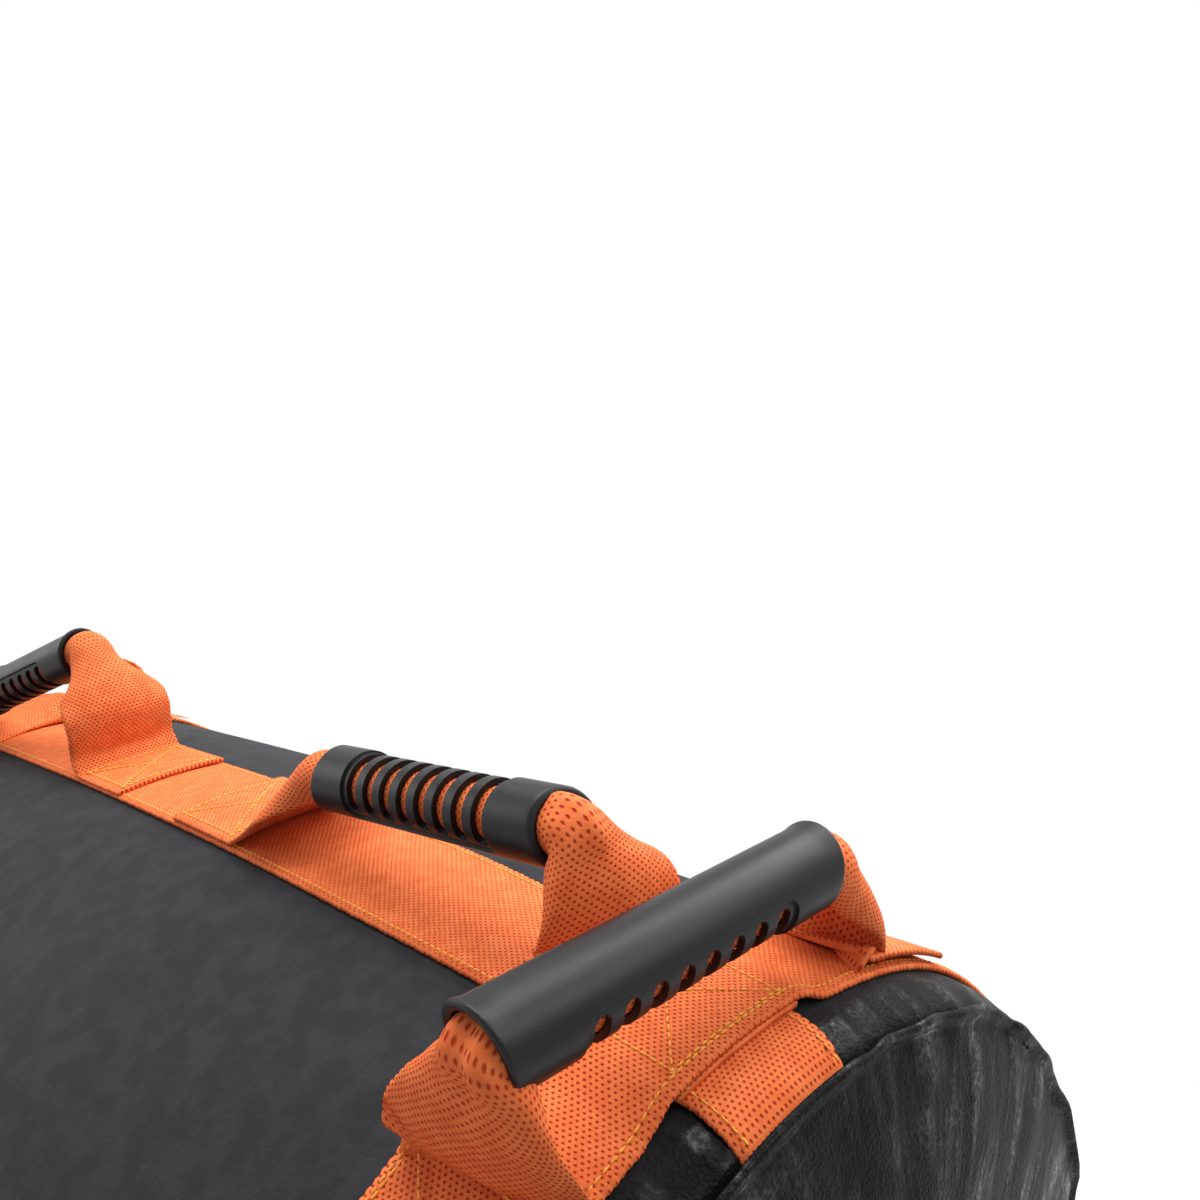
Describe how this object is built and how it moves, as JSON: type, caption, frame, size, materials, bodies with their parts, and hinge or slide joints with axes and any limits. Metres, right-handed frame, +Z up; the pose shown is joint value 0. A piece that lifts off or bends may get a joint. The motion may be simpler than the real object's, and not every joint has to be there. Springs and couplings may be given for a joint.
{
  "type": "sandbag trainer",
  "caption": "Cylindrical leather-like sandbag trainer with webbing straps, grip handles along and across the top, domed ends and a zip on the back.",
  "frame": {"origin": "on the floor under the middle of the bag", "axes": "+X along the bag towards the end that the picture shows, +Y across to the back with the zip, +Z up through the handles"},
  "size_m": [0.6546, 0.3345, 0.3317],
  "materials": {
    "leather": "black grained leather-like skin, semi-gloss",
    "webbing": "orange coarse woven webbing",
    "moulded_plastic": "satin black moulded plastic",
    "zip_tape": "black woven zip tape with plastic teeth",
    "zip_metal": "plain grey metal",
    "filler_cloth": "dark grey inner cloth",
    "sand": "dry sand, packed"
  },
  "bodies": {
    "bag": {"shell_tube": "leather", "end_cap_left": "leather", "end_cap_right": "leather", "long_strap": "webbing", "cross_strap_left": "webbing", "cross_strap_right": "webbing", "handle_1_foot_left": "webbing", "handle_1_foot_right": "webbing", "handle_2_foot_left": "webbing", "handle_2_foot_right": "webbing", "handle_3_foot_front": "webbing", "handle_3_foot_back": "webbing", "handle_4_foot_front": "webbing", "handle_4_foot_back": "webbing", "zip_tape_upper": "zip_tape", "zip_tape_lower": "zip_tape", "zip_stop_left": "zip_metal", "zip_stop_right": "zip_metal", "filler_bag_left": "filler_cloth", "filler_bag_right": "filler_cloth", "sand_left": "sand", "sand_right": "sand", "filler_flap_left": "filler_cloth", "filler_flap_right": "filler_cloth"},
    "handle_1": {"handle_1_loop": "webbing"},
    "grip_1_tube": {"grip_1": "moulded_plastic"},
    "handle_2": {"handle_2_loop": "webbing"},
    "grip_2_tube": {"grip_2": "moulded_plastic"},
    "handle_3": {"handle_3_loop": "webbing"},
    "grip_3_tube": {"grip_3": "moulded_plastic"},
    "handle_4": {"handle_4_loop": "webbing"},
    "grip_4_tube": {"grip_4": "moulded_plastic"},
    "slider": {"zip_slider": "zip_metal"},
    "pull": {"zip_pull": "zip_metal"}
  },
  "joints": [
    {"name": "handle_1_swing", "type": "hinge", "parent": "bag", "child": "handle_1", "pos_m": [-0.138, 0, 0.28586], "axis": [1, 0, 0], "range_deg": [-75, 7]},
    {"name": "handle_2_swing", "type": "hinge", "parent": "bag", "child": "handle_2", "pos_m": [0.138, 0, 0.28586], "axis": [1, 0, 0], "range_deg": [-58, 28]},
    {"name": "handle_3_swing", "type": "hinge", "parent": "bag", "child": "handle_3", "pos_m": [0.266, 0, 0.26572], "axis": [0, 1, 0], "range_deg": [-7, 25]},
    {"name": "handle_4_swing", "type": "hinge", "parent": "bag", "child": "handle_4", "pos_m": [-0.266, 0, 0.26572], "axis": [0, 1, 0], "range_deg": [-12, 110]},
    {"name": "grip_1_turn", "type": "hinge", "parent": "handle_1", "child": "grip_1_tube", "pos_m": [-0.16104, -0.012, 0.30374], "axis": [0.9354, 0.1988, 0.2924], "continuous": true},
    {"name": "grip_2_turn", "type": "hinge", "parent": "handle_2", "child": "grip_2_tube", "pos_m": [0.18252, -0.00528, 0.30278], "axis": [0.9986, 0.0122, 0.0506], "continuous": true},
    {"name": "grip_3_turn", "type": "hinge", "parent": "handle_3", "child": "grip_3_tube", "pos_m": [0.28388, -0.01596, 0.2902], "axis": [0.0418, 0.9984, -0.0384], "continuous": true},
    {"name": "grip_4_turn", "type": "hinge", "parent": "handle_4", "child": "grip_4_tube", "pos_m": [-0.3146, -0.0096, 0.27412], "axis": [0.0174, 0.9995, 0.0262], "continuous": true},
    {"name": "zip_run", "type": "slide", "parent": "bag", "child": "slider", "axis": [1, 0, 0], "range_m": [-0.361, 0.0095]},
    {"name": "pull_flip", "type": "hinge", "parent": "slider", "child": "pull", "pos_m": [0.176, 0.16421, 0.14443], "axis": [0, 0.1793, -0.9838], "range_deg": [0, 175]}
  ]
}
